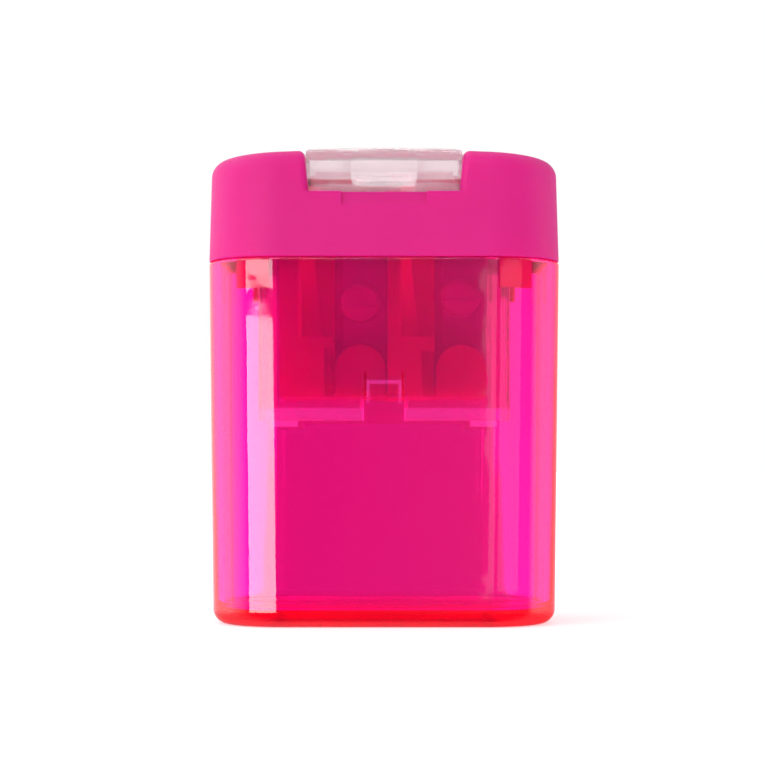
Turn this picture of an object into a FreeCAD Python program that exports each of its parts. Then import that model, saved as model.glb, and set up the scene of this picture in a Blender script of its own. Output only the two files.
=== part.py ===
import FreeCAD, Part
import math
import os
import re
import Sketcher
from FreeCAD import Placement, Rotation, Vector

# Double-hole pencil sharpener: a translucent tub for the shavings, a solid-coloured cap with a
# flip-up clear lid, and a clear holder that hangs from the cap with the two-hole sharpener block.
# Millimetres. X to the right, Y to the back, Z up; the origin is the middle of the tub's foot.

SIZES = [
    # tub
    ("tub_width", 42.0), ("tub_depth", 26.0), ("tub_height", 43.2), ("tub_wall", 1.2),
    ("tub_floor", 1.9), ("tub_draft", 0.6), ("corner_radius", 8.5), ("foot_round", 1.8),
    ("floor_round", 1.0), ("rim_round", 0.3),
    # shared: the arc across the top, how far joined solids run into each other, how far a
    # cutting tool overshoots, and a length beyond any piece
    ("crown_radius", 300.0), ("lap", 0.2), ("spare", 1.0), ("beyond", 40.0),
    # cap
    ("seam_gap", 0.1), ("cap_height", 12.7), ("cap_wall", 1.5), ("cap_roof", 1.8),
    ("cap_draft", 1.6), ("cap_round", 2.0), ("mouth_width", 27.0), ("mouth_front", 8.9),
    ("mouth_back", 10.5), ("notch_top_width", 18.7), ("notch_foot_width", 17.6),
    ("notch_depth", 5.1), ("notch_round", 0.8), ("thumb_width", 10.0), ("thumb_height", 1.6),
    ("thumb_depth", 0.75), ("cap_foot_round", 0.2),
    # corner tabs that plug the cap into the tub
    ("tab_radius", 7.1), ("tab_thickness", 0.55), ("tab_drop", 3.4), ("tab_start", 50.0),
    ("tab_sweep", 32.0), ("tab_root", 3.0),
    # ribs and hinge sockets inside the cap
    ("rib_place", 5.0), ("rib_thickness", 1.2), ("rib_lift", 2.0), ("lug_gap", 0.2),
    ("lip_thickness", 1.0), ("lip_gap", 0.15), ("socket_length", 1.7), ("socket_width", 3.4),
    ("socket_drop", 1.55),
    # clear holder
    ("holder_width", 29.4), ("holder_depth", 21.8), ("holder_wall", 1.05), ("holder_base", 24.2),
    ("holder_top", 52.55), ("holder_plate", 0.8), ("holder_corner", 1.2), ("rim_height", 1.4),
    ("rim_extra", 0.5), ("bead", 0.35), ("bead_leg", 0.45), ("bead_inset", 1.3),
    ("bead_round", 0.2), ("screen_width", 16.5), ("screen_top", 53.3), ("screen_base", 49.5),
    ("screen_step", 0.35), ("gate_width", 4.7), ("gate_height", 2.8), ("tongue_height", 2.9),
    ("tongue_slit", 0.3), ("hook_height", 0.8), ("hook_reach", 3.6), ("hook_gap", 0.05),
    ("pad_inner", 10.1),
    ("pad_outer", 13.2), ("pad_drop", 0.7), ("plate_clearance", 0.25),
    # two-hole sharpener block
    ("block_width", 24.8), ("block_depth", 16.0), ("block_base", 27.1), ("block_top", 51.7),
    ("hole_place", 6.0), ("standard_radius", 4.15), ("standard_angle", 11.5),
    ("standard_tip", 27.4), ("jumbo_radius", 5.7), ("jumbo_angle", 15.0), ("jumbo_tip", 28.3),
    ("tip_radius", 0.3), ("standard_slot", 1.1), ("jumbo_slot", 1.5), ("slot_margin", 0.8),
    ("window_base", 34.2), ("window_width", 4.0), ("window_depth", 1.0),
    ("guard_radius", 3.0), ("guard_height", 30.3), ("guard_front", 6.8), ("guard_thickness", 0.9),
    ("guard_foot", 0.5), ("guard_root", 0.6),
    # blades and their screws, along the slope of each cone
    ("blade_width", 6.4), ("blade_length", 23.0), ("blade_thickness", 0.6), ("blade_gap", 0.05),
    ("blade_start", 0.4), ("blade_hole_slack", 0.1), ("edge_land", 0.1), ("bevel_skim", 0.02),
    ("bevel_width", 1.1), ("screw_rise", 11.5), ("shank_radius", 0.85),
    ("shank_depth", 1.1), ("head_radius", 2.4), ("head_height", 0.9), ("head_round", 0.35),
    ("slot_width", 0.5), ("slot_depth", 0.35),
    # flip lid
    ("lid_width", 26.4), ("lid_front", 8.6), ("lid_nose", 12.4), ("lid_nose_width", 18.2),
    ("skirt_width", 17.3), ("lid_base", 54.55), ("lid_thickness", 1.45),
    ("skirt_base", 53.2), ("skirt_thickness", 0.9),
    ("skirt_foot", 0.5), ("skirt_foot_width", 0.6), ("catch_width", 7.7), ("catch_base", 51.5),
    ("catch_front", 12.75), ("catch_thickness", 0.75), ("catch_round", 0.9),
    ("catch_top", 0.6), ("relief_width", 0.9), ("relief_depth", 0.45), ("relief_top", 0.75),
    ("lid_corner", 1.0), ("lid_round", 0.5), ("grip_radius", 0.35), ("grip_height", 52.35),
    ("grip_sink", 0.1), ("grip_inset", 0.6),
    # hinge between lid and cap
    ("hinge_back", 8.0), ("hinge_height", 54.4), ("barrel_radius", 1.25), ("pin_radius", 0.8),
    ("pin_reach", 14.6), ("pin_clearance", 0.05),
]

doc = FreeCAD.newDocument("PencilSharpener")
sheet = doc.addObject("Spreadsheet::Sheet", "Sizes")
for row, (alias, value) in enumerate(SIZES, start=1):
    sheet.set("A%d" % row, alias)
    sheet.set("B%d" % row, str(value))
    sheet.setAlias("B%d" % row, alias)
doc.recompute()
ALIASES = {alias for alias, value in SIZES}

# Heights that several pieces share
CAP_BASE = "(tub_height + seam_gap)"
CAP_TOP = "(tub_height + seam_gap + cap_height)"
ROOF_BASE = "(tub_height + seam_gap + cap_height - cap_roof)"


def named(text):
    """The expression with every alias written as a cell of the sheet."""
    return re.sub(r"[a-z_]+", lambda word: "Sizes." + word[0] if word[0] in ALIASES else word[0], text)


def bind(item, **sizes):
    """Tie properties to the sheet; a double underscore stands for a dot."""
    for prop, text in sizes.items():
        item.setExpression(prop.replace("__", "."), named(text))


def place(item, x="0", y="0", z="0", tilt=None, turn=None):
    """Put an item at x, y, z, tilted about X or turned about Z by an expression in degrees."""
    if tilt or turn:
        axis = Vector(1, 0, 0) if tilt else Vector(0, 0, 1)
        item.Placement = Placement(Vector(0, 0, 0), Rotation(axis, 10))
        bind(item, Placement__Rotation__Angle=tilt or turn)
    bind(item, Placement__Base__x=x, Placement__Base__y=y, Placement__Base__z=z)
    return item


# ---- primitives and booleans -----------------------------------------------------------------

def box(name, x, y, z, tilt=None):
    """A box from three (low, size) pairs of expressions."""
    item = doc.addObject("Part::Box", name)
    bind(item, Length=x[1], Width=y[1], Height=z[1])
    return place(item, x[0], y[0], z[0], tilt)


def cylinder(name, radius, height, x="0", y="0", z="0", tilt=None):
    item = doc.addObject("Part::Cylinder", name)
    bind(item, Radius=radius, Height=height)
    return place(item, x, y, z, tilt)


def cone(name, low_radius, high_radius, height, x="0", y="0", z="0", tilt=None):
    item = doc.addObject("Part::Cone", name)
    bind(item, Radius1=low_radius, Radius2=high_radius, Height=height)
    return place(item, x, y, z, tilt)


def fuse(name, *items):
    whole = doc.addObject("Part::MultiFuse", name)
    whole.Shapes = list(items)
    return whole


def common(name, first, second):
    shared = doc.addObject("Part::MultiCommon", name)
    shared.Shapes = [first, second]
    return shared


def cut(name, base, *tools):
    tool = tools[0] if len(tools) == 1 else fuse(name + "_tools", *tools)
    whole = doc.addObject("Part::Cut", name)
    whole.Base, whole.Tool = base, tool
    return whole


# ---- part design features --------------------------------------------------------------------

def new_sketch(body, name, role, offset="0"):
    """An empty sketch on one of the body's own planes, moved along the plane's normal."""
    sketch = body.newObject("Sketcher::SketchObject", name)
    plane = [item for item in body.Origin.OriginFeatures if item.Role == role][0]
    sketch.AttachmentSupport = (plane, [""])
    sketch.MapMode = "FlatFace"
    bind(sketch, AttachmentOffset__Base__z=offset)
    return sketch


def bind_constraint(sketch, constraint, text):
    number = sketch.addConstraint(constraint)
    bind(sketch, **{"Constraints[%d]" % number: text})


def outline(body, name, role, corners, offset="0"):
    """A closed polygon with every corner bound to the sheet."""
    sketch = new_sketch(body, name, role, offset)
    count = len(corners)
    ring = [Vector(math.cos(2 * math.pi * i / count), math.sin(2 * math.pi * i / count), 0)
            for i in range(count)]
    for i in range(count):
        sketch.addGeometry(Part.LineSegment(ring[i], ring[(i + 1) % count]))
    for i in range(count):
        sketch.addConstraint(Sketcher.Constraint("Coincident", i, 2, (i + 1) % count, 1))
    for i, corner in enumerate(corners):
        for kind, start, text in zip(("DistanceX", "DistanceY"), (ring[i].x, ring[i].y), corner):
            bind_constraint(sketch, Sketcher.Constraint(kind, -1, 1, i, 1, start), text)
    doc.recompute()
    return sketch


def rectangle(body, name, role, low, high, offset="0"):
    corners = [(low[0], low[1]), (high[0], low[1]), (high[0], high[1]), (low[0], high[1])]
    return outline(body, name, role, corners, offset)


def rounded(body, name, half_x, half_y, radius, offset="0"):
    """A rectangle with round corners about the origin of the body's XY plane."""
    sketch = new_sketch(body, name, "XY_Plane", offset)
    quarters = ((1, 1), (-1, 1), (-1, -1), (1, -1))
    for i, (side, edge) in enumerate(quarters):
        around = Part.Circle(Vector(side, edge, 0), Vector(0, 0, 1), 1)
        sketch.addGeometry(Part.ArcOfCircle(around, i * math.pi / 2, (i + 1) * math.pi / 2))
    for i in range(4):
        following = (i + 1) % 4
        start = sketch.getPoint(i, 2)
        sketch.addGeometry(Part.LineSegment(start, sketch.getPoint(following, 1)))
    for i, (side, edge) in enumerate(quarters):
        sketch.addConstraint(Sketcher.Constraint("Coincident", i, 2, 4 + i, 1))
        sketch.addConstraint(Sketcher.Constraint("Coincident", 4 + i, 2, (i + 1) % 4, 1))
        first, last = ("Horizontal", "Vertical") if i % 2 == 0 else ("Vertical", "Horizontal")
        sketch.addConstraint(Sketcher.Constraint(first, i, 1, i, 3))
        sketch.addConstraint(Sketcher.Constraint(last, i, 2, i, 3))
        for constraint, text in (
                (Sketcher.Constraint("DistanceX", -1, 1, i, 3, float(side)),
                 "%d * (%s - (%s))" % (side, half_x, radius)),
                (Sketcher.Constraint("DistanceY", -1, 1, i, 3, float(edge)),
                 "%d * (%s - (%s))" % (edge, half_y, radius)),
                (Sketcher.Constraint("Radius", i, 1.0), radius)):
            bind_constraint(sketch, constraint, text)
    doc.recompute()
    return sketch


def circle(body, name, role, centre, radius):
    sketch = new_sketch(body, name, role)
    sketch.addGeometry(Part.Circle(Vector(1, 1, 0), Vector(0, 0, 1), 1))
    for constraint, text in (
            (Sketcher.Constraint("DistanceX", -1, 1, 0, 3, 1.0), centre[0]),
            (Sketcher.Constraint("DistanceY", -1, 1, 0, 3, 1.0), centre[1]),
            (Sketcher.Constraint("Radius", 0, 1.0), radius)):
        bind_constraint(sketch, constraint, text)
    doc.recompute()
    return sketch


def pad(body, name, sketch, length, taper=None, midplane=False):
    feature = body.newObject("PartDesign::Pad", name)
    feature.Profile = sketch
    bind(feature, Length=length)
    if taper:
        bind(feature, TaperAngle=taper)
    if midplane:
        feature.SideType = "Symmetric"
    doc.recompute()
    return feature


def pocket(body, name, sketch, length, taper=None, reverse=False):
    before = body.Shape.Volume
    feature = body.newObject("PartDesign::Pocket", name)
    feature.Profile = sketch
    feature.Reversed = reverse
    bind(feature, Length=length)
    if taper:
        bind(feature, TaperAngle=taper)
    doc.recompute()
    if not body.Shape.Volume < before - 1e-3:
        raise RuntimeError(name + " cuts nothing")
    return feature


def fillet(body, name, radius, keep):
    """Round every edge of the body so far for which keep(box, middle) is true."""
    base = body.Tip
    names = ["Edge%d" % number for number, edge in enumerate(base.Shape.Edges, start=1)
             if keep(edge.BoundBox, edge.CenterOfMass)]
    if not names:
        raise RuntimeError(name + " finds no edge")
    feature = body.newObject("PartDesign::Fillet", name)
    feature.Base = (base, names)
    bind(feature, Radius=radius)
    doc.recompute()
    return feature


def crown(body, name, top, half_width, half_depth):
    """Round the top off to an arc that peaks at height top and runs from front to back."""
    sketch = new_sketch(body, name + "Profile", "XZ_Plane", half_depth)
    radius, reach = value("crown_radius"), value("tub_width") / 2
    spread = math.asin(reach / radius)
    arc = Part.Circle(Vector(0, -radius, 0), Vector(0, 0, 1), radius)
    sketch.addGeometry(Part.ArcOfCircle(arc, math.pi / 2 - spread, math.pi / 2 + spread))
    right, left = sketch.getPoint(0, 1), sketch.getPoint(0, 2)
    lift = Vector(0, reach, 0)
    for start, end in ((left, left + lift), (left + lift, right + lift), (right + lift, right)):
        sketch.addGeometry(Part.LineSegment(start, end))
    for first, second in ((0, 1), (1, 2), (2, 3)):
        sketch.addConstraint(Sketcher.Constraint("Coincident", first, 2, second, 1))
    sketch.addConstraint(Sketcher.Constraint("Coincident", 3, 2, 0, 1))
    for line, kind in ((1, "Vertical"), (2, "Horizontal"), (3, "Vertical")):
        sketch.addConstraint(Sketcher.Constraint(kind, line))
    sketch.addConstraint(Sketcher.Constraint("PointOnObject", 0, 3, -2))
    for constraint, text in (
            (Sketcher.Constraint("Radius", 0, radius), "crown_radius"),
            (Sketcher.Constraint("DistanceY", -1, 1, 0, 3, -radius), top + " - crown_radius"),
            (Sketcher.Constraint("DistanceX", -1, 1, 3, 1, reach), half_width),
            (Sketcher.Constraint("DistanceX", -1, 1, 1, 2, -reach), "-(%s)" % half_width),
            (Sketcher.Constraint("DistanceY", -1, 1, 2, 1, left.y + reach), top + " + spare")):
        bind_constraint(sketch, constraint, text)
    doc.recompute()
    pocket(body, name, sketch, "2 * (%s)" % half_depth)


def value(alias):
    return dict(SIZES)[alias]


def upright(bounds):
    return bounds.ZLength > 5 and bounds.XLength < 2 and bounds.YLength < 2


def level(bounds, height):
    return bounds.ZLength < 1e-4 and abs(bounds.ZMin - height) < 1e-3


def near_top(bounds, height):
    """True of an edge that stays within a millimetre below the crown's peak."""
    return bounds.ZMin > height - 1.0


# ---- tub -------------------------------------------------------------------------------------

def make_container():
    body = doc.addObject("PartDesign::Body", "container")
    foot_x = "(tub_width / 2 - tub_height * tan(tub_draft))"
    foot_y = "(tub_depth / 2 - tub_height * tan(tub_draft))"
    foot = rectangle(body, "FootOutline", "XY_Plane",
                     ("-" + foot_x, "-" + foot_y), (foot_x, foot_y))
    pad(body, "Block", foot, "tub_height", taper="tub_draft")
    fillet(body, "Corners", "corner_radius", lambda bounds, middle: upright(bounds))
    fillet(body, "FootEdge", "foot_round", lambda bounds, middle: level(bounds, 0))
    rim = rounded(body, "MouthOutline", "tub_width / 2 - tub_wall", "tub_depth / 2 - tub_wall",
                  "corner_radius - tub_wall", offset="tub_height")
    pocket(body, "Hollow", rim, "tub_height - tub_floor", taper="-tub_draft")
    fillet(body, "FloorEdge", "floor_round",
           lambda bounds, middle: level(bounds, value("tub_floor")))
    fillet(body, "RimEdge", "rim_round", lambda bounds, middle: level(bounds, value("tub_height")))
    return body


# ---- cap -------------------------------------------------------------------------------------

def make_cap_shell():
    body = doc.addObject("PartDesign::Body", "CapShell")
    base = rectangle(body, "CapOutline", "XY_Plane", ("-tub_width / 2", "-tub_depth / 2"),
                     ("tub_width / 2", "tub_depth / 2"), offset=CAP_BASE)
    pad(body, "CapBlock", base, "cap_height", taper="-cap_draft")
    fillet(body, "CapCorners", "corner_radius", lambda bounds, middle: upright(bounds))
    top = value("tub_height") + value("seam_gap") + value("cap_height")
    crown(body, "CapCrown", CAP_TOP, "tub_width / 2 + spare", "tub_depth / 2 + spare")
    fillet(body, "CapTopEdge", "cap_round", lambda bounds, middle: near_top(bounds, top))
    fillet(body, "CapFootEdge", "cap_foot_round",
           lambda bounds, middle: level(bounds, value("tub_height") + value("seam_gap")))
    hollow = rounded(body, "CapHollowOutline", "tub_width / 2 - cap_wall",
                     "tub_depth / 2 - cap_wall", "corner_radius - cap_wall", offset=CAP_BASE)
    pocket(body, "CapHollow", hollow, "cap_height - cap_roof", taper="-cap_draft", reverse=True)
    mouth = rectangle(body, "CapMouthOutline", "XY_Plane", ("-mouth_width / 2", "-mouth_front"),
                      ("mouth_width / 2", "mouth_back"), offset=CAP_TOP + " + spare")
    pocket(body, "Mouth", mouth, "cap_roof + 2 * spare")
    notch_base = "(" + CAP_TOP + " - notch_depth)"
    notch = outline(body, "NotchOutline", "XZ_Plane",
                    [("-notch_foot_width / 2", notch_base), ("notch_foot_width / 2", notch_base),
                     ("notch_top_width / 2", CAP_TOP), ("notch_top_width / 2", CAP_TOP + " + spare"),
                     ("-notch_top_width / 2", CAP_TOP + " + spare"),
                     ("-notch_top_width / 2", CAP_TOP)],
                    offset="tub_depth / 2 + spare")
    pocket(body, "Notch", notch, "tub_depth / 2 + 1.5 * spare - mouth_front")
    shoulder = value("notch_top_width") / 2
    fillet(body, "NotchShoulders", "notch_round",
           lambda bounds, middle: near_top(bounds, top) and bounds.YLength > 0.5
           and abs(abs(middle.x) - shoulder) < 0.1)
    front = "(tub_depth / 2 - (cap_height - notch_depth) * tan(cap_draft))"
    thumb = outline(body, "ThumbProfile", "YZ_Plane",
                    [("-tub_depth / 2 - spare", notch_base + " - thumb_height"),
                     ("-" + front, notch_base + " - thumb_height"),
                     ("thumb_depth - " + front, notch_base),
                     ("thumb_depth - " + front, notch_base + " + spare"),
                     ("-tub_depth / 2 - spare", notch_base + " + spare")],
                    offset="thumb_width / 2")
    pocket(body, "ThumbScoop", thumb, "thumb_width")
    return body


def make_cap():
    """The shell with its corner tabs, inner ribs and hinge sockets."""
    parts = [make_cap_shell()]
    for side, edge in ((1, 1), (-1, 1), (-1, -1), (1, -1)):
        across, along = ("+" if side > 0 else "-"), ("+" if edge > 0 else "-")
        start = {(1, 1): "tab_start", (-1, 1): "180 - tab_start - tab_sweep",
                 (-1, -1): "180 + tab_start", (1, -1): "360 - tab_start - tab_sweep"}[side, edge]
        centre = (across + "(tub_width / 2 - corner_radius)",
                  along + "(tub_depth / 2 - corner_radius)")
        outer = doc.addObject("Part::Cylinder", "TabOuter")
        bind(outer, Radius="tab_radius", Height="tab_drop + seam_gap + tab_root", Angle="tab_sweep")
        place(outer, centre[0], centre[1], "tub_height - tab_drop", turn=start)
        inner = cylinder("TabInner", "tab_radius - tab_thickness", "tab_drop + beyond",
                         centre[0], centre[1], "tub_height - tab_drop - spare")
        parts.append(cut("CornerTab", outer, inner))
    reach = "(tub_width / 2 - holder_width / 2 - cap_wall + 2 * lap)"
    for side in (1, -1):
        for edge in (1, -1):
            low_x = "holder_width / 2" if side > 0 else "-holder_width / 2 - " + reach
            low_y = "%d * rib_place - rib_thickness / 2" % edge
            parts.append(box("Rib", (low_x, reach), (low_y, "rib_thickness"),
                             (CAP_BASE + " + rib_lift", "cap_height - cap_roof - rib_lift + lap")))
            lug = "(holder_width / 2 - mouth_width / 2 - lug_gap)"
            lug_x = "mouth_width / 2 + lug_gap" if side > 0 else "-holder_width / 2"
            parts.append(box("RibLug", (lug_x, lug), (low_y, "rib_thickness"),
                             ("holder_top", ROOF_BASE + " - holder_top + lap")))
        low_x = "mouth_width / 2" if side > 0 else "-mouth_width / 2 - socket_length"
        parts.append(box("Socket", (low_x, "socket_length"),
                         ("hinge_back - socket_width / 2", "socket_width"),
                         (ROOF_BASE + " - socket_drop", "socket_drop + lap")))
    parts.append(box("BackLip", ("-mouth_width / 2", "mouth_width"), ("mouth_back", "lip_thickness"),
                     ("holder_top + lip_gap", ROOF_BASE + " - holder_top - lip_gap + lap")))
    bore = cylinder("HingeBore", "pin_radius + pin_clearance", "2 * pin_reach + 2 * lap",
                    "-pin_reach - lap", "hinge_back", "hinge_height")
    bore.Placement = Placement(Vector(0, 0, 0), Rotation(Vector(0, 1, 0), 90))
    bind(bore, Placement__Base__x="-pin_reach - lap", Placement__Base__y="hinge_back",
         Placement__Base__z="hinge_height")
    return cut("cap", fuse("CapParts", *parts), bore)


# ---- clear holder ----------------------------------------------------------------------------

def make_holder():
    body = doc.addObject("PartDesign::Body", "holder")
    outer_x, outer_y = "holder_width / 2", "holder_depth / 2"
    inner_x, inner_y = outer_x + " - holder_wall", outer_y + " - holder_wall"
    base = rectangle(body, "HolderOutline", "XY_Plane", ("-" + outer_x, "-" + outer_y),
                     (outer_x, outer_y), offset="holder_base")
    pad(body, "HolderBlock", base, "holder_top - holder_base")
    fillet(body, "HolderCorners", "holder_corner", lambda bounds, middle: upright(bounds))
    screen = rectangle(body, "ScreenOutline", "XY_Plane",
                       ("-screen_width / 2", "-holder_depth / 2 - screen_step"),
                       ("screen_width / 2", "-holder_depth / 2 + holder_wall"),
                       offset="screen_base")
    pad(body, "Screen", screen, "screen_top - screen_base")
    for side in (1, -1):
        for edge in (1, -1):
            low_x = "pad_inner" if side > 0 else "-pad_outer"
            high_x = "pad_outer" if side > 0 else "-pad_inner"
            low_y = inner_y if edge > 0 else "-" + outer_y
            high_y = outer_y if edge > 0 else "-holder_depth / 2 + holder_wall"
            foot = rectangle(body, "FootPad", "XY_Plane", (low_x, low_y), (high_x, high_y),
                             offset="holder_base - pad_drop")
            pad(body, "Foot", foot, "pad_drop + lap")
    rim = rectangle(body, "RimOutline", "XY_Plane",
                    ("-holder_width / 2 + holder_wall + rim_extra",
                     "-holder_depth / 2 + holder_wall + rim_extra"),
                    (inner_x + " - rim_extra", inner_y + " - rim_extra"), offset="holder_base - spare")
    pocket(body, "RimHollow", rim, "rim_height + 2 * spare", reverse=True)
    room = rectangle(body, "RoomOutline", "XY_Plane",
                     ("-holder_width / 2 + holder_wall", "-holder_depth / 2 + holder_wall"),
                     (inner_x, inner_y), offset="holder_base + rim_height")
    pocket(body, "Room", room, "holder_top - holder_plate - holder_base - rim_height",
           reverse=True)
    for sign in ("", "-"):
        foot_end = sign + "(holder_width / 2 - bead_inset)"
        gate_side, leg_side = sign + "gate_width / 2", sign + "(gate_width / 2 + bead_leg)"
        bead = outline(body, "BeadOutline", "XZ_Plane",
                       [(foot_end, "holder_base"), (gate_side, "holder_base"),
                        (gate_side, "holder_base + gate_height"),
                        (leg_side, "holder_base + gate_height"),
                        (leg_side, "holder_base + rim_height"),
                        (foot_end, "holder_base + rim_height")],
                       offset="holder_depth / 2 - lap")
        pad(body, "Bead", bead, "bead + lap")
    bead_front = -value("holder_depth") / 2 - value("bead")
    fillet(body, "BeadEdges", "bead_round",
           lambda bounds, middle: bounds.YLength < 1e-3 and abs(middle.y - bead_front) < 1e-3)
    gate = rectangle(body, "GateOutline", "XZ_Plane", ("-gate_width / 2", "holder_base - spare"),
                     ("gate_width / 2", "holder_base + gate_height"),
                     offset="holder_depth / 2 + spare")
    pocket(body, "Gate", gate, "holder_wall + rim_extra + 2 * spare")
    for side in (1, -1):
        low = "gate_width / 2 - tongue_slit" if side > 0 else "-gate_width / 2"
        high = "gate_width / 2" if side > 0 else "-gate_width / 2 + tongue_slit"
        slit = rectangle(body, "SlitOutline", "XZ_Plane", (low, "holder_base + gate_height - lap"),
                         (high, "holder_base + gate_height + tongue_height"),
                         offset="holder_depth / 2 + spare")
        pocket(body, "TongueSlit", slit, "holder_wall + 2 * spare")
    hook = rectangle(body, "HookOutline", "XY_Plane",
                     ("-gate_width / 2 + tongue_slit", "-holder_depth / 2"),
                     ("gate_width / 2 - tongue_slit", "-holder_depth / 2 + hook_reach"),
                     offset="block_base - hook_height - hook_gap")
    pad(body, "Hook", hook, "hook_height")
    for name, side, radius in (("StandardHole", "-", "standard_radius"),
                               ("JumboHole", "", "jumbo_radius")):
        hole = circle(body, name + "Outline", "XY_Plane", (side + "hole_place", "0"),
                      radius + " + plate_clearance")
        pocket(body, name, hole, "holder_top + spare", reverse=True)
    return body


# ---- sharpener block, blades and screws ------------------------------------------------------

def on_slope(unit, across, out, along):
    """Place of a point in a cone's sloping blade frame.

    across runs right from the cutting edge, out leaves the blade seat towards the front, and
    along climbs the slope from the cone's tip.
    """
    angle = unit + "_angle"
    centre = "-hole_place" if unit == "standard" else "hole_place"
    return ("%s + %s" % (centre, across),
            "-(%s) * cos(%s) - (%s) * sin(%s)" % (out, angle, along, angle),
            "%s_tip - (%s) * sin(%s) + (%s) * cos(%s)" % (unit, out, angle, along, angle))


def sloped_box(name, unit, across, out, along):
    """A box lying on the slope, from (low, high) pairs in the blade frame."""
    x, y, z = on_slope(unit, across[0], out[1], along[0])
    sizes = ["(%s) - (%s)" % (high, low) for low, high in (across, out, along)]
    return box(name, (x, sizes[0]), (y, sizes[1]), (z, sizes[2]), tilt=unit + "_angle")


def make_guard(unit):
    """The round-topped shield in front of the sharp lower end of a blade."""
    middle = "%shole_place + blade_width / 2" % ("-" if unit == "standard" else "")
    arch = cylinder("GuardArch", "guard_radius", "guard_thickness", middle, "-guard_front",
                    "guard_height", tilt="-90")
    plate = box("GuardPlate", (middle + " - guard_radius", "2 * guard_radius"),
                ("-guard_front", "guard_thickness"), ("block_base", "guard_height - block_base"))
    foot = box("GuardFoot", (middle + " - guard_radius", "2 * guard_radius"),
               ("-guard_front", "guard_front + guard_root"), ("block_base", "guard_foot"))
    return fuse("Guard", arch, plate, foot)


def make_block():
    blank = box("BlockBlank", ("-block_width / 2", "block_width"),
                ("-block_depth / 2", "block_depth"), ("block_base", "block_top - block_base"))
    tools = []
    for unit in ("standard", "jumbo"):
        centre = "-hole_place" if unit == "standard" else "hole_place"
        radius, slot = unit + "_radius", unit + "_slot"
        rise = "(%s_radius - tip_radius) / tan(%s_angle)" % (unit, unit)
        start = "(%s_tip + tip_radius / tan(%s_angle))" % (unit, unit)
        tools.append(cone("Taper", "tip_radius", radius, rise, centre, "0", start))
        tools.append(cylinder("Guide", radius, "block_top - %s - %s + spare" % (start, rise),
                              centre, "0", start + " + " + rise))
        tools.append(sloped_box("Seat", unit, ("0", "blade_width + blade_gap"),
                                ("0", "beyond"), ("-beyond", "beyond")))
        tools.append(sloped_box("ChipSlot", unit, ("-" + slot, "blade_gap"), ("-" + slot, "beyond"),
                                ("slot_margin", "(window_base - %s_tip) / cos(%s_angle)"
                                 % (unit, unit))))
        window = sloped_box("Window", unit, ("-window_width", "blade_gap"),
                            ("-window_depth", "beyond"), ("slot_margin", "beyond"))
        above = box("AboveSill", (centre + " - window_width", "window_width + blade_gap"),
                    ("-block_depth", "2 * block_depth"), ("window_base", "beyond"))
        tools.append(common("ChipWindow", window, above))
        x, y, z = on_slope(unit, "blade_width / 2", "spare", "screw_rise")
        tools.append(cylinder("PilotHole", "shank_radius", "spare + shank_depth", x, y, z,
                              tilt=unit + "_angle - 90"))
    guards = [make_guard(unit) for unit in ("standard", "jumbo")]
    return fuse("sharpener_block", cut("BlockCut", blank, *tools), *guards)


def make_blade(unit):
    blank = sloped_box("Strip", unit, ("blade_gap", "blade_width"),
                       ("blade_gap", "blade_gap + blade_thickness"), ("blade_start", "blade_length"))
    x, y, z = on_slope(unit, "blade_width / 2", "blade_thickness + spare", "screw_rise")
    hole = cylinder("BladeHole", "shank_radius + blade_hole_slack",
                    "blade_thickness + 2 * spare", x, y, z, tilt=unit + "_angle - 90")
    grind = doc.addObject("Part::Wedge", "Bevel")
    bind(grind, Xmin="0", Xmax="bevel_width", X2min="0", X2max="bevel_skim",
         Ymin="0", Ymax="blade_thickness - edge_land", Zmin="0",
         Zmax="blade_length + spare", Z2min="0", Z2max="blade_length + spare")
    x, y, z = on_slope(unit, "0", "blade_gap + blade_thickness + bevel_skim", "-spare / 2")
    place(grind, x, y, z, tilt=unit + "_angle")
    return cut("blade_" + unit, blank, hole, grind)


def make_screw(unit):
    tilt = unit + "_angle - 90"
    seat = "blade_gap + blade_thickness"
    x, y, z = on_slope(unit, "blade_width / 2", seat + " + head_height", "screw_rise")
    dome = cone("HeadDome", "head_radius - head_round", "head_radius", "head_round", x, y, z, tilt)
    x, y, z = on_slope(unit, "blade_width / 2", seat + " + head_height - head_round", "screw_rise")
    head = cylinder("Head", "head_radius", "head_height - head_round", x, y, z, tilt)
    x, y, z = on_slope(unit, "blade_width / 2", seat + " + lap", "screw_rise")
    shank = cylinder("Shank", "shank_radius", "blade_gap + blade_thickness + lap + shank_depth",
                     x, y, z, tilt)
    slot = sloped_box("DriverSlot", unit,
                      ("blade_width / 2 - head_radius - lap", "blade_width / 2 + head_radius + lap"),
                      (seat + " + head_height - slot_depth", seat + " + head_height + spare"),
                      ("screw_rise - slot_width / 2", "screw_rise + slot_width / 2"))
    return cut("screw_" + unit, fuse("ScrewBlank", dome, head, shank), slot)


# ---- flip lid --------------------------------------------------------------------------------

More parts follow.
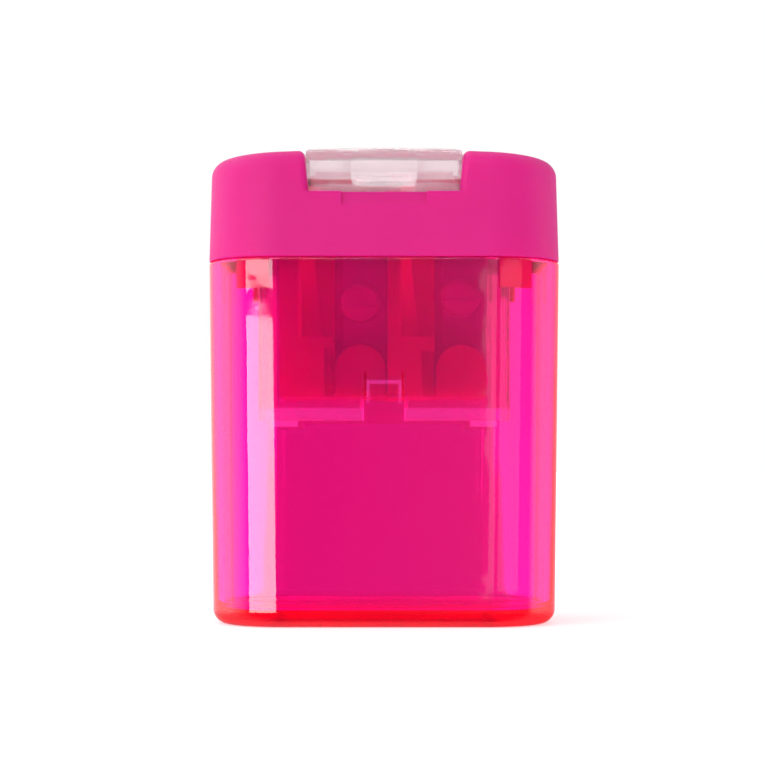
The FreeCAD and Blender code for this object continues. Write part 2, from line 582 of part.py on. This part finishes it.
def make_lid():
    body = doc.addObject("PartDesign::Body", "lid")
    side, nose, skirt_side = "lid_width / 2", "lid_nose_width / 2", "skirt_width / 2"
    plate = outline(body, "LidOutline", "XY_Plane",
                    [("-" + side, "hinge_back"), ("-" + side, "-lid_front"),
                     ("-" + nose, "-lid_front"), ("-" + nose, "-lid_nose"), (nose, "-lid_nose"),
                     (nose, "-lid_front"), (side, "-lid_front"), (side, "hinge_back")],
                    offset="lid_base")
    pad(body, "Plate", plate, "lid_thickness")
    top = value("lid_base") + value("lid_thickness")
    crown(body, "LidCrown", "(lid_base + lid_thickness)", "lid_width / 2 + spare", "lid_nose + spare")
    fillet(body, "PlateCorners", "lid_corner",
           lambda bounds, middle: bounds.ZLength > 1 and bounds.XLength < 0.01
           and bounds.YLength < 0.01 and middle.y < 0
           and abs(middle.y + value("lid_front")) < 0.1 and abs(middle.x) > 10)
    fillet(body, "PlateRound", "lid_round",
           lambda bounds, middle: near_top(bounds, top) and middle.y < value("hinge_back") - 0.1)
    skirt = rectangle(body, "SkirtOutline", "XY_Plane", ("-" + skirt_side, "-lid_nose"),
                      (skirt_side, "-lid_nose + skirt_thickness"), offset="skirt_base")
    pad(body, "Skirt", skirt, "lid_base - skirt_base + lap")
    for sign in (1, -1):
        low = skirt_side + " - skirt_foot_width" if sign > 0 else "-" + skirt_side
        high = skirt_side if sign > 0 else "-" + skirt_side + " + skirt_foot_width"
        foot = rectangle(body, "SkirtFoot", "XY_Plane", (low, "-lid_nose"),
                         (high, "-lid_nose + skirt_thickness"), offset="skirt_base - skirt_foot")
        pad(body, "SkirtFootPad", foot, "skirt_foot + lap")
    for sign in (1, -1):
        low = "catch_width / 2" if sign > 0 else "-catch_width / 2 - relief_width"
        high = "catch_width / 2 + relief_width" if sign > 0 else "-catch_width / 2"
        relief = rectangle(body, "ReliefOutline", "XZ_Plane", (low, "skirt_base - spare"),
                           (high, "lid_base + lid_thickness - relief_top"),
                           offset="lid_nose + spare")
        pocket(body, "Relief", relief, "spare + relief_depth")
    catch = rectangle(body, "CatchOutline", "XZ_Plane", ("-catch_width / 2", "catch_base"),
                      ("catch_width / 2", "lid_base + lid_thickness - catch_top"),
                      offset="catch_front - catch_thickness")
    pad(body, "Catch", catch, "catch_thickness")
    base = value("catch_base")
    fillet(body, "CatchCorners", "catch_round",
           lambda bounds, middle: level(bounds, base) and bounds.YLength > 0.5
           and bounds.XLength < 0.01)
    barrel = circle(body, "BarrelOutline", "YZ_Plane", ("hinge_back", "hinge_height"),
                    "barrel_radius")
    pad(body, "Barrel", barrel, "lid_width", midplane=True)
    pin = circle(body, "PinOutline", "YZ_Plane", ("hinge_back", "hinge_height"), "pin_radius")
    pad(body, "Pins", pin, "2 * pin_reach", midplane=True)
    grip = circle(body, "GripOutline", "YZ_Plane", ("-catch_front + grip_sink", "grip_height"),
                  "grip_radius")
    pad(body, "Grip", grip, "catch_width - 2 * grip_inset", midplane=True)
    return body


NODES = [make_container(), make_cap(), make_holder(), make_block(),
         make_blade("standard"), make_blade("jumbo"), make_screw("standard"), make_screw("jumbo"),
         make_lid()]

doc.recompute()

# ---- checks and export -----------------------------------------------------------------------

for item in doc.Objects:
    if "Invalid" in item.State or "Error" in item.State:
        raise RuntimeError("%s is %s" % (item.Name, item.State))
for node in NODES:
    if node.Shape.isNull() or not node.Shape.isValid():
        raise RuntimeError(node.Name + " has no valid shape")
os.makedirs("parts", exist_ok=True)
for node in NODES:
    node.Label = node.Name
    node.Shape.exportStep("parts/%s.step" % node.Label)
    bounds = node.Shape.optimalBoundingBox(False)
    print("%-16s solids %d volume %8.1f  x %6.2f %6.2f  y %6.2f %6.2f  z %6.2f %6.2f" % (
        node.Label, len(node.Shape.Solids), node.Shape.Volume, bounds.XMin, bounds.XMax,
        bounds.YMin, bounds.YMax, bounds.ZMin, bounds.ZMax))
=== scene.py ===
import math

import bpy
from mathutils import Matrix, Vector


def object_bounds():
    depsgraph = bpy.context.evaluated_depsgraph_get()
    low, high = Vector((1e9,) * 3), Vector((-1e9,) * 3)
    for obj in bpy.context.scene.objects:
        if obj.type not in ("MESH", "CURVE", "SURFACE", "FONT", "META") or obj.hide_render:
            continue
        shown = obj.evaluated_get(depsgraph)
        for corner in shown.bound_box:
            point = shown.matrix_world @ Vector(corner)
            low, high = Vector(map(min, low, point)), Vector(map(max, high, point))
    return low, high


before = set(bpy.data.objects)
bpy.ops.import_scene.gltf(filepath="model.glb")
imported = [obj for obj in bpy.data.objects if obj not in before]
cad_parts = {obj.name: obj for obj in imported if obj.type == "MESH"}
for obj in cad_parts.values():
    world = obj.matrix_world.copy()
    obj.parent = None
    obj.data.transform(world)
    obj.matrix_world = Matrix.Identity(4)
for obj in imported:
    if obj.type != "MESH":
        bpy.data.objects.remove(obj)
cad_low, cad_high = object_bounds()

MM = 0.001

# The camera stands level with the lower middle of the tub, close in front of it.
EYE_HEIGHT = 19.6 * MM
EYE_DISTANCE = 230 * MM          # from the front face
SENSOR = 36                      # in millimetres, like the lens
LENS = 93.2
SHIFT_X, SHIFT_Y = -0.002, 0.1013
CLIP_START = 10 * MM

# Brightness of the studio around the object, set apart for each kind of ray so that the closed
# object looks right from the front. Each list holds places along a direction, from -1 to 1,
# each with its share of the peak brightness.
THROUGH_PEAK = 4.0               # seen through the clear plastic
THROUGH = ((0.0525, 0.31), (0.0575, 0.72), (0.16, 1.0))   # by the turn away from an axis
RIGHT_START, RIGHT_END = 0.06, 0.10
RIGHT_SHARE = 0.8                # of it beyond RIGHT_END, on the right
MIRROR_PEAK = 2.6                # mirrored in the gloss
MIRROR_LEFT = ((-0.56, 0.02), (-0.40, 0.38), (0.05, 1.0), (0.7, 0.42), (0.95, 0.38))
MIRROR_RIGHT = ((-0.30, 0.08), (-0.12, 0.65), (0.15, 0.65), (0.7, 0.22), (0.92, 0.18))
MIRROR_SEAM = 0.05               # half of the band in the middle where left runs into right
BELOW_START, BELOW_END = -0.1, -0.4
MIRROR_BELOW = 0.3               # share of the mirrored brightness that is left below BELOW_END
WORLD_DIFFUSE = 0.5              # falling on matt surfaces
WORLD_CAMERA = 1.0               # the plain background

# The clear plastics
PLASTIC_IOR = 1.5
TUB_TINT, TUB_DENSITY = (0.994, 0.0, 0.72), 2300
TUB_GLOW = (4, 0.3, 12)          # light added inside the tub's plastic, per metre of it
EDGE_GLOW = (0.5, 0.0, 0.02)     # light added on the tub's side walls, whichever way they are seen
FROST = 0.3                      # roughness of the tub's foot
CLEAR_TINT, CLEAR_DENSITY = (0.7, 0.6, 0.6), 4
RIM_GLOW = (0.5, 1, 1)           # colour of the light added on the holder's edges
BLACK = (0, 0, 0)

# The moulded plastics
SPREAD = (1.0, 0.1, 0.35)        # how far red, green and blue light spread inside them
SPREAD_DEPTH = 4 * MM
WINDOW_GLOW = (0.5, 0.0, 0.05)   # light added in the block's chip windows

# Places on the pieces, all in millimetres
FOOT_HALF = 20.4                 # half of the tub's width at its foot
DRAFT_SLOPE = 0.0139             # how much each side widens per unit of height
SIDE_SKIN = (0.5, 0.15)          # depths in from the side where the edge glow starts and is full
FROST_HEIGHTS = (1.3, 2.1)
HOLDER_FRONT = (-9.5, -9.3)
HOLDER_LOW = 20                  # just below the holder
RIM_TOP = 25.5
TONGUE_TOP = 28.9
TONGUE_LIP = 0.3
TONGUE_SIDE = (1.8, 2.05)
TONGUE_HALF = (2.3, 2.5)
WINDOWS = ((-9.9, -6.4), (2.2, 5.6))   # the block's chip windows, across
WINDOW_HEIGHTS = (34.6, 52)
WINDOW_BACK = (-3, -1)           # the windows' light ends here

# The stretches of a noise texture's values that matter
NOISE_SPAN = (0.3, 0.7)
POLISH_SPAN = (0.35, 0.75)


# ---- node helpers ----------------------------------------------------------------------------

def material(name):
    """An empty node material with its output and one Principled shader."""
    made = bpy.data.materials.new(name)
    made.use_nodes = True
    tree = made.node_tree
    tree.nodes.clear()
    output = tree.nodes.new("ShaderNodeOutputMaterial")
    shader = tree.nodes.new("ShaderNodeBsdfPrincipled")
    tree.links.new(shader.outputs["BSDF"], output.inputs["Surface"])
    return made, tree, shader, output


def noise(tree, scale, detail=3, roughness=0.5, stretch=(1, 1, 1)):
    """Noise in object space; scale is in cells per metre along each axis times stretch."""
    place = tree.nodes.new("ShaderNodeTexCoord")
    mapping = tree.nodes.new("ShaderNodeMapping")
    mapping.inputs["Scale"].default_value = stretch
    texture = tree.nodes.new("ShaderNodeTexNoise")
    texture.inputs["Scale"].default_value = scale
    texture.inputs["Detail"].default_value = detail
    texture.inputs["Roughness"].default_value = roughness
    tree.links.new(place.outputs["Object"], mapping.inputs["Vector"])
    tree.links.new(mapping.outputs["Vector"], texture.inputs["Vector"])
    return texture.outputs["Fac"]


def ramp(tree, source, low, high, low_value, high_value):
    """source between low and high, spread over low_value to high_value."""
    node = tree.nodes.new("ShaderNodeMapRange")
    for name, value in (("From Min", low), ("From Max", high),
                        ("To Min", low_value), ("To Max", high_value)):
        node.inputs[name].default_value = value
    tree.links.new(source, node.inputs["Value"])
    return node.outputs["Result"]


def maths(tree, operation, first, second=None):
    """A math node on one or two sockets."""
    node = tree.nodes.new("ShaderNodeMath")
    node.operation = operation
    tree.links.new(first, node.inputs[0])
    if second is not None:
        tree.links.new(second, node.inputs[1])
    return node.outputs["Value"]


def mix(tree, factor, first, second):
    """A colour between first and second."""
    node = tree.nodes.new("ShaderNodeMix")
    node.data_type = "RGBA"
    node.inputs["A"].default_value = (*first, 1)
    node.inputs["B"].default_value = (*second, 1)
    tree.links.new(factor, node.inputs["Factor"])
    return node.outputs["Result"]


def bump(tree, shader, height, distance, strength=1.0):
    """Small relief on the surface, distance deep in metres."""
    node = tree.nodes.new("ShaderNodeBump")
    node.inputs["Distance"].default_value = distance
    node.inputs["Strength"].default_value = strength
    tree.links.new(height, node.inputs["Height"])
    tree.links.new(node.outputs["Normal"], shader.inputs["Normal"])


def light_up(tree, shader, share, colour, strength):
    """Add light of a colour where share is 1, fading out to none where it is 0."""
    tree.links.new(mix(tree, share, BLACK, colour), shader.inputs["Emission Color"])
    shader.inputs["Emission Strength"].default_value = strength


def absorb(tree, output, colour, density, glow=None):
    """Colour by depth; glow is light added along the way, per metre."""
    node = tree.nodes.new("ShaderNodeVolumeAbsorption")
    node.inputs["Color"].default_value = (*colour, 1)
    node.inputs["Density"].default_value = density
    if glow is None:
        tree.links.new(node.outputs["Volume"], output.inputs["Volume"])
        return
    # Painted light: an emission spread through the plastic, so that it glows from within.
    added_glow = tree.nodes.new("ShaderNodeEmission")
    added_glow.inputs["Color"].default_value = (*glow, 1)
    added_glow.inputs["Strength"].default_value = 1.0
    both = tree.nodes.new("ShaderNodeAddShader")
    tree.links.new(node.outputs["Volume"], both.inputs[0])
    tree.links.new(added_glow.outputs["Emission"], both.inputs[1])
    tree.links.new(both.outputs["Shader"], output.inputs["Volume"])


# ---- materials -------------------------------------------------------------------------------

def spot(tree):
    """Where a point is at rest, in metres: across, back and up from the middle of the foot."""
    place = tree.nodes.new("ShaderNodeTexCoord")
    split = tree.nodes.new("ShaderNodeSeparateXYZ")
    tree.links.new(place.outputs["Object"], split.inputs["Vector"])
    return split.outputs["X"], split.outputs["Y"], split.outputs["Z"]


def within(tree, source, low, high, soft):
    """1 between low and high along source, fading to 0 over soft, all in millimetres."""
    rise = ramp(tree, source, (low - soft) * MM, low * MM, 0, 1)
    fall = ramp(tree, source, high * MM, (high + soft) * MM, 1, 0)
    return maths(tree, "MULTIPLY", rise, fall)


def tub_plastic():
    """Clear pink plastic: the depth of its wall gives the colour, and the foot is frosted.

    The frost and the added light stand in for rays that the walls guide and the render loses.
    """
    made, tree, shader, output = material("tub_pink_clear")
    shader.inputs["Transmission Weight"].default_value = 1.0
    shader.inputs["IOR"].default_value = PLASTIC_IOR
    across, _, up = spot(tree)
    polish = ramp(tree, noise(tree, scale=900, detail=4), *POLISH_SPAN, 0.015, 0.05)
    frost = ramp(tree, up, FROST_HEIGHTS[0] * MM, FROST_HEIGHTS[1] * MM, FROST, 0.0)
    tree.links.new(maths(tree, "MAXIMUM", polish, frost), shader.inputs["Roughness"])
    bump(tree, shader, noise(tree, scale=120, detail=2), distance=0.04 * MM)
    flare = maths(tree, "SUBTRACT", maths(tree, "ABSOLUTE", across),
                  ramp(tree, up, 0, 1, 0, DRAFT_SLOPE))
    edge = ramp(tree, flare, (FOOT_HALF - SIDE_SKIN[0]) * MM, (FOOT_HALF - SIDE_SKIN[1]) * MM, 0, 1)
    light_up(tree, shader, edge, EDGE_GLOW, 1.0)
    absorb(tree, output, TUB_TINT, TUB_DENSITY, TUB_GLOW)
    return made


def holder_edges(tree):
    """1 on the rim at the foot of the holder's front wall and on a thin outline of its tongue."""
    across, back, up = spot(tree)
    sideways = maths(tree, "ABSOLUTE", across)
    front = ramp(tree, back, HOLDER_FRONT[0] * MM, HOLDER_FRONT[1] * MM, 1, 0)
    rim = within(tree, up, HOLDER_LOW, RIM_TOP, 0.3)
    tongue = maths(tree, "MULTIPLY", within(tree, sideways, *TONGUE_SIDE, 0.2),
                   within(tree, up, HOLDER_LOW, TONGUE_TOP, 0.2))
    lip = maths(tree, "MULTIPLY", within(tree, up, TONGUE_TOP - TONGUE_LIP, TONGUE_TOP, 0.15),
                ramp(tree, sideways, TONGUE_HALF[0] * MM, TONGUE_HALF[1] * MM, 1, 0))
    outline = maths(tree, "MAXIMUM", rim, maths(tree, "MAXIMUM", tongue, lip))
    return maths(tree, "MULTIPLY", front, outline)


def clear_plastic(name, low, high, clarity, roughness, glow=0.0):
    """Clear plastic with a little haze: clarity is the share of light that it lets through.

    glow is the strength of the light added on the holder's edges, which stands in for light
    that its walls guide there.
    """
    made, tree, shader, output = material(name)
    shader.inputs["Transmission Weight"].default_value = clarity
    shader.inputs["IOR"].default_value = PLASTIC_IOR
    tree.links.new(mix(tree, noise(tree, scale=300), low, high), shader.inputs["Base Color"])
    tree.links.new(ramp(tree, noise(tree, scale=1200, detail=4), *POLISH_SPAN,
                        roughness, roughness + 0.06),
                   shader.inputs["Roughness"])
    bump(tree, shader, noise(tree, scale=400), distance=0.03 * MM)
    absorb(tree, output, CLEAR_TINT, CLEAR_DENSITY)
    if glow:
        light_up(tree, shader, holder_edges(tree), RIM_GLOW, glow)
    return made


def satin_plastic(name, low, high, roughness, softness, windows=()):
    """Moulded plastic with a fine spark-eroded grain and faint flow marks.

    softness is the share of light that spreads inside it before it comes out. windows are two
    stretches across with added light, which stands in for light that comes through from behind.
    """
    made, tree, shader, _ = material(name)
    flow = ramp(tree, noise(tree, scale=60), *NOISE_SPAN, 0, 1)
    tree.links.new(mix(tree, flow, low, high), shader.inputs["Base Color"])
    tree.links.new(ramp(tree, noise(tree, scale=2500, detail=2), *NOISE_SPAN,
                        roughness - 0.05, roughness + 0.07),
                   shader.inputs["Roughness"])
    shader.inputs["Specular IOR Level"].default_value = 0.2
    shader.inputs["Subsurface Weight"].default_value = softness
    shader.inputs["Subsurface Radius"].default_value = SPREAD
    shader.inputs["Subsurface Scale"].default_value = SPREAD_DEPTH
    bump(tree, shader, noise(tree, scale=6000), distance=0.02 * MM, strength=0.6)
    if windows:
        across, back, up = spot(tree)
        columns = [within(tree, across, *window, 0.5) for window in windows]
        depth = ramp(tree, back, WINDOW_BACK[0] * MM, WINDOW_BACK[1] * MM, 1, 0)
        inside = maths(tree, "MULTIPLY", within(tree, up, *WINDOW_HEIGHTS, 0.6), depth)
        lit = maths(tree, "MULTIPLY", maths(tree, "MAXIMUM", *columns), inside)
        light_up(tree, shader, lit, WINDOW_GLOW, 1.0)
    return made


def steel(name, tint, stretch, metallic, roughness):
    """Metal with a grain drawn out along the axis that stretch makes small."""
    made, tree, shader, _ = material(name)
    shader.inputs["Metallic"].default_value = metallic
    grain = noise(tree, scale=900, detail=4, roughness=0.6, stretch=stretch)
    tree.links.new(mix(tree, grain, [0.92 * c for c in tint], tint), shader.inputs["Base Color"])
    tree.links.new(ramp(tree, grain, *NOISE_SPAN, roughness, roughness + 0.12),
                   shader.inputs["Roughness"])
    bump(tree, shader, grain, distance=0.002 * MM, strength=0.5)
    return made


def give(node, made):
    """Put a material on every slot of a CAD node."""
    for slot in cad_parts[node].material_slots:
        slot.material = made


TUB = tub_plastic()
HOLDER = clear_plastic("holder_clear", (0.97, 0.84, 0.89), (1.0, 0.91, 0.94), 0.82, 0.04, glow=0.25)
LID = clear_plastic("lid_clear", (0.975, 0.92, 0.94), (1.0, 0.96, 0.975), 0.76, 0.05)
CAP = satin_plastic("cap_magenta", (0.78, 0.009, 0.25), (0.82, 0.013, 0.267), 0.45, 0.5)
BLOCK = satin_plastic("block_magenta", (0.88, 0.014, 0.205), (0.92, 0.018, 0.235), 0.38, 1.0,
                      windows=WINDOWS)
BLADE = steel("blade_steel", (0.36, 0.33, 0.34), (8, 8, 0.3), 0.9, 0.34)
SCREW = steel("screw_zinc", (0.85, 0.85, 0.86), (1, 1, 1), 0.2, 0.5)

give("container", TUB)
give("holder", HOLDER)
give("lid", LID)
give("cap", CAP)
give("sharpener_block", BLOCK)
for unit in ("standard", "jumbo"):
    give("blade_" + unit, BLADE)
    give("screw_" + unit, SCREW)


# ---- studio ----------------------------------------------------------------------------------

def make_floor():
    """A plain white floor just under the foot, out of sight of mirrored and refracted rays."""
    half = 3.0
    mesh = bpy.data.meshes.new("floor")
    mesh.from_pydata([(-half, -half, 0), (half, -half, 0), (half, half, 0), (-half, half, 0)],
                     [], [(0, 1, 2, 3)])
    floor = bpy.data.objects.new("floor", mesh)
    floor.location.z = cad_low.z - 0.02 * MM
    bpy.context.scene.collection.objects.link(floor)
    made, _, shader, _ = material("floor_white")
    shader.inputs["Base Color"].default_value = (0.95, 0.95, 0.95, 1)
    shader.inputs["Roughness"].default_value = 0.9
    shader.inputs["Emission Color"].default_value = (1, 1, 1, 1)
    shader.inputs["Emission Strength"].default_value = 0.5
    mesh.materials.append(made)
    floor.visible_glossy = False
    floor.visible_transmission = False


def stops(tree, source, points):
    """A smooth run of grey values at places from -1 to 1 along source."""
    node = tree.nodes.new("ShaderNodeValToRGB")
    tree.links.new(ramp(tree, source, -1, 1, 0, 1), node.inputs["Fac"])
    elements = node.color_ramp.elements
    while len(elements) < len(points):
        elements.new(0.5)
    for element, (position, grey) in zip(elements, points):
        element.position = (position + 1) / 2
        element.color = (grey, grey, grey, 1)
    return node.outputs["Color"]


def make_world():
    """A pale studio, with a brightness of its own for mirrored, refracted and diffuse rays."""
    world = bpy.data.worlds.new("studio")
    bpy.context.scene.world = world
    world.use_nodes = True
    tree = world.node_tree
    background = tree.nodes["Background"]
    place = tree.nodes.new("ShaderNodeTexCoord")
    split = tree.nodes.new("ShaderNodeSeparateXYZ")
    tree.links.new(place.outputs["Generated"], split.inputs["Vector"])
    across, along, up = (split.outputs[axis] for axis in "XYZ")
    aside = maths(tree, "MINIMUM", maths(tree, "ABSOLUTE", across), maths(tree, "ABSOLUTE", along))
    through = maths(tree, "MULTIPLY",
                    ramp(tree, stops(tree, aside, THROUGH), 0, 1, 0, THROUGH_PEAK),
                    ramp(tree, across, RIGHT_START, RIGHT_END, 1, RIGHT_SHARE))
    side = tree.nodes.new("ShaderNodeMix")
    tree.links.new(ramp(tree, across, -MIRROR_SEAM, MIRROR_SEAM, 0, 1), side.inputs["Factor"])
    tree.links.new(stops(tree, along, MIRROR_LEFT), side.inputs["A"])
    tree.links.new(stops(tree, along, MIRROR_RIGHT), side.inputs["B"])
    below = ramp(tree, up, BELOW_END, BELOW_START, MIRROR_BELOW * MIRROR_PEAK, MIRROR_PEAK)
    level = maths(tree, "MULTIPLY", side.outputs["Result"], below)
    path = tree.nodes.new("ShaderNodeLightPath")
    for output, value in (("Is Diffuse Ray", WORLD_DIFFUSE), ("Is Transmission Ray", through),
                          ("Is Camera Ray", WORLD_CAMERA)):
        choice = tree.nodes.new("ShaderNodeMix")
        tree.links.new(path.outputs[output], choice.inputs["Factor"])
        tree.links.new(level, choice.inputs["A"])
        if isinstance(value, float):
            choice.inputs["B"].default_value = value
        else:
            tree.links.new(value, choice.inputs["B"])
        level = choice.outputs["Result"]
    tree.links.new(level, background.inputs["Strength"])
    background.inputs["Color"].default_value = (1, 1, 1, 1)


def softbox(name, place, aim, size, strength, gloss_only=False):
    """An area light whose surface has the given brightness, facing aim."""
    data = bpy.data.lights.new(name, "AREA")
    data.shape = "RECTANGLE"
    data.size, data.size_y = size
    data.energy = strength * math.pi * size[0] * size[1]
    lamp = bpy.data.objects.new(name, data)
    bpy.context.scene.collection.objects.link(lamp)
    lamp.location = place
    lamp.rotation_euler = (Vector(aim) - Vector(place)).to_track_quat("-Z", "Y").to_euler()
    lamp.visible_camera = False
    if gloss_only:
        lamp.visible_diffuse = False
        lamp.visible_transmission = False


def around(azimuth, distance, height):
    """A place at an azimuth in degrees from the camera's side, positive to the right."""
    angle = math.radians(azimuth)
    return (distance * math.sin(angle), -distance * math.cos(angle), height)


def make_lights():
    """One soft key light, and strips that only show as highlights in the gloss."""
    middle = (0, 0, EYE_HEIGHT)
    softbox("key", around(-50, 0.9, 0.7), middle, size=(0.6, 0.6), strength=2.6)
    softbox("left_strip", around(-33, 0.55, 0.0), middle,
            size=(0.44, 0.13), strength=9.5, gloss_only=True)
    softbox("left_top_strip", around(-33, 0.55, 0.0835), middle,
            size=(0.44, 0.017), strength=8, gloss_only=True)
    softbox("right_strip", (0.085, -0.55, EYE_HEIGHT), (0.085, 0, EYE_HEIGHT),
            size=(0.09, 0.13), strength=1.0, gloss_only=True)
    softbox("top_strip", (0, -0.42, 0.42), middle,
            size=(0.3, 0.06), strength=9, gloss_only=True)
    softbox("right_fill", around(36, 0.55, EYE_HEIGHT), middle,
            size=(0.34, 0.13), strength=0.8, gloss_only=True)


def make_camera():
    """The camera looks level along Y and is shifted, so that upright edges stay upright."""
    data = bpy.data.cameras.new("camera")
    data.lens = LENS
    data.sensor_width = SENSOR
    data.shift_x, data.shift_y = SHIFT_X, SHIFT_Y
    data.clip_start = CLIP_START
    camera = bpy.data.objects.new("camera", data)
    bpy.context.scene.collection.objects.link(camera)
    camera.location = (0, cad_low.y - EYE_DISTANCE, EYE_HEIGHT)
    camera.rotation_euler = (math.radians(90), 0, 0)
    bpy.context.scene.camera = camera


make_floor()
make_world()
make_lights()
make_camera()
scene = bpy.context.scene
scene.view_settings.view_transform = "Standard"
scene.cycles.max_bounces = 24
scene.cycles.transmission_bounces = 24
scene.cycles.glossy_bounces = 8
scene.cycles.diffuse_bounces = 4
